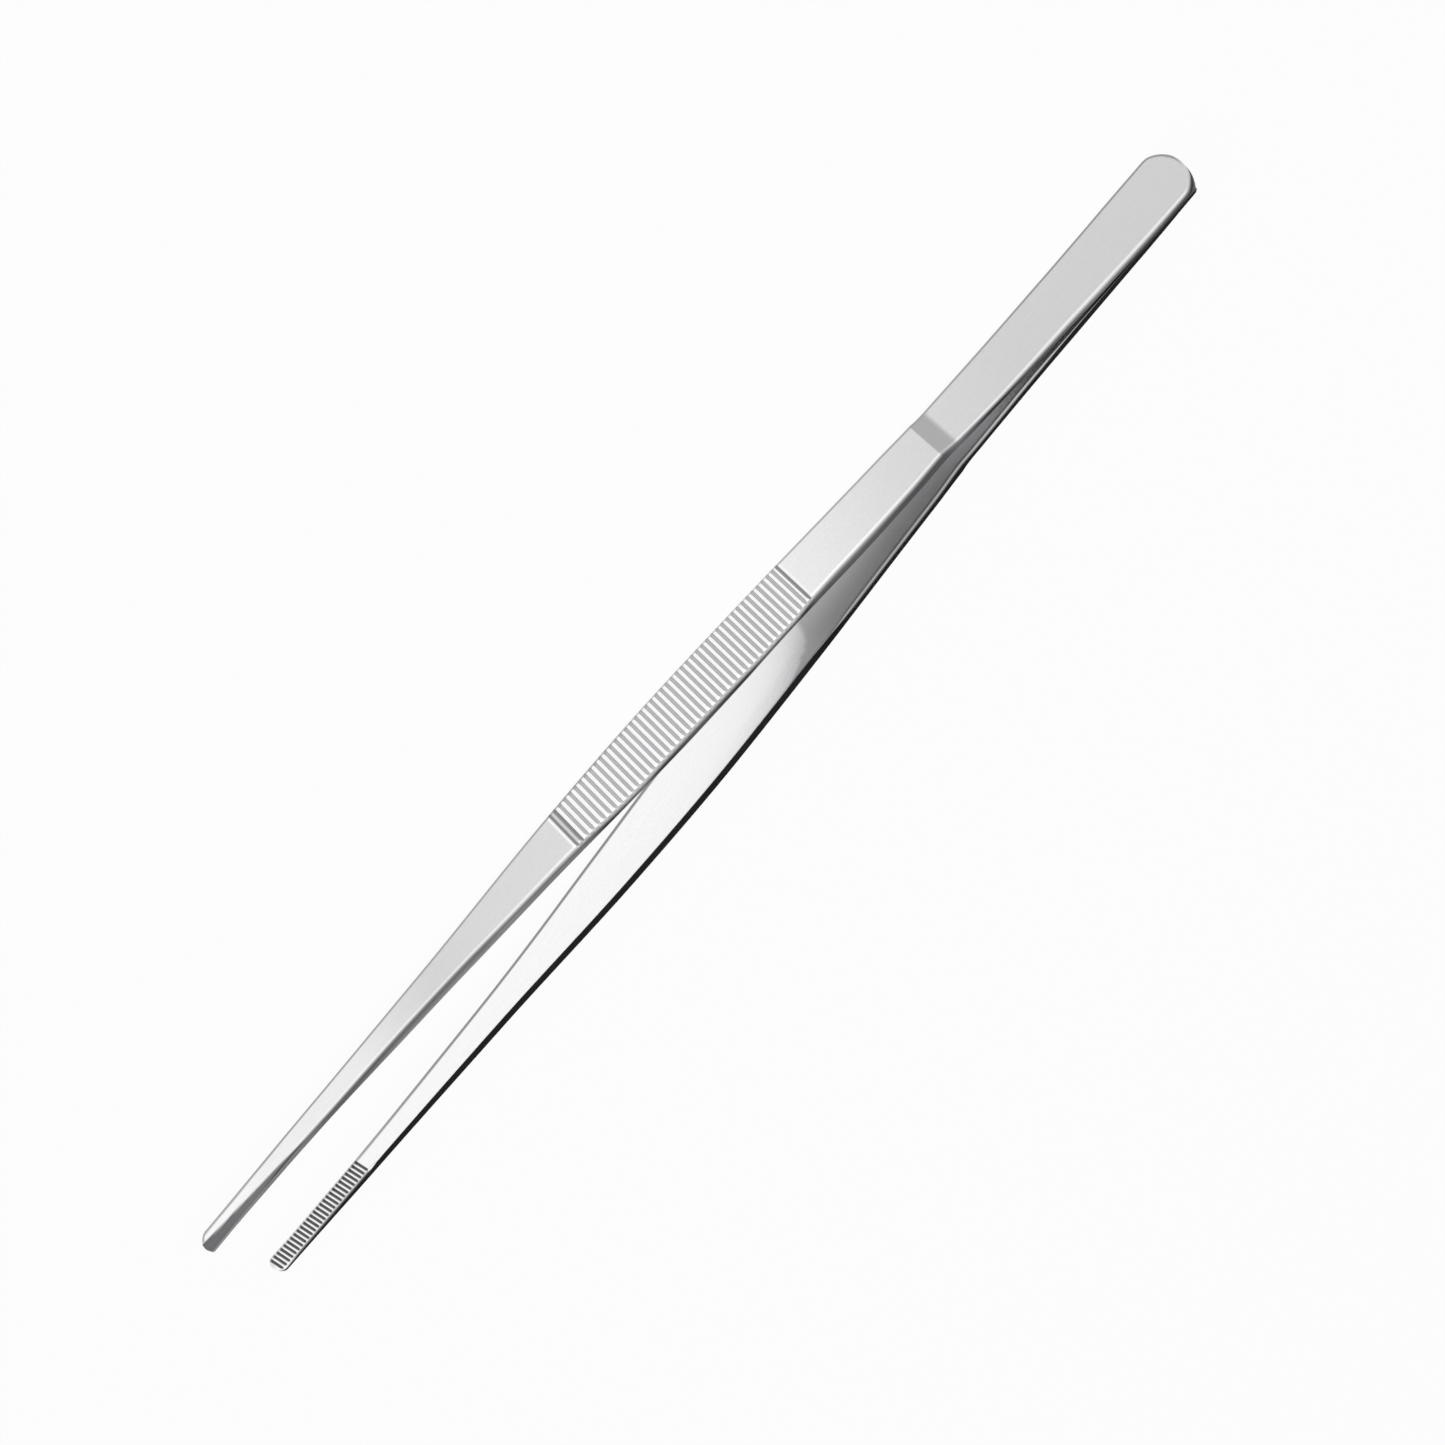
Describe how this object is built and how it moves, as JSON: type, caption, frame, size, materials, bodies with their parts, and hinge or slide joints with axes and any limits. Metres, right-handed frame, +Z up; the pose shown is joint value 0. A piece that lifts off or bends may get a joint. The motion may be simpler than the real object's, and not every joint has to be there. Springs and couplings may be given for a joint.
{
  "type": "aquascaping tweezers",
  "caption": "Long straight spring-steel tweezers with bowed arms, ribbed finger grips and slim serrated tips, spot welded at the heel.",
  "frame": {"origin": "the middle of the length, under the edges of the strips that the tweezers lie on", "axes": "+X runs from the heel to the tips, +Y from the near arm to the far arm, +Z up across the width of the strips"},
  "size_m": [0.2701, 0.026, 0.012],
  "materials": {
    "satin_stainless": "stainless steel strip, finely satin polished, with rounded polished edges",
    "weld_metal": "fused spot weld, unfinished and hidden between the heels"
  },
  "bodies": {
    "heel": {"near_arm_heel": "satin_stainless", "far_arm_heel": "satin_stainless", "rear_weld_nugget": "weld_metal", "front_weld_nugget": "weld_metal"},
    "near_arm": {"near_arm_front": "satin_stainless"},
    "far_arm": {"far_arm_front": "satin_stainless"}
  },
  "joints": [
    {"name": "near_arm_flex", "type": "hinge", "parent": "heel", "child": "near_arm", "pos_m": [-0.087, -0.00147, 0.006], "axis": [0, 0, 1], "range_deg": [-1, 2.93], "stiffness_Nm_per_rad": 12.7},
    {"name": "far_arm_flex", "type": "hinge", "parent": "heel", "child": "far_arm", "pos_m": [-0.087, 0.00147, 0.006], "axis": [0, 0, -1], "range_deg": [-1, 2.93], "stiffness_Nm_per_rad": 12.7}
  ]
}
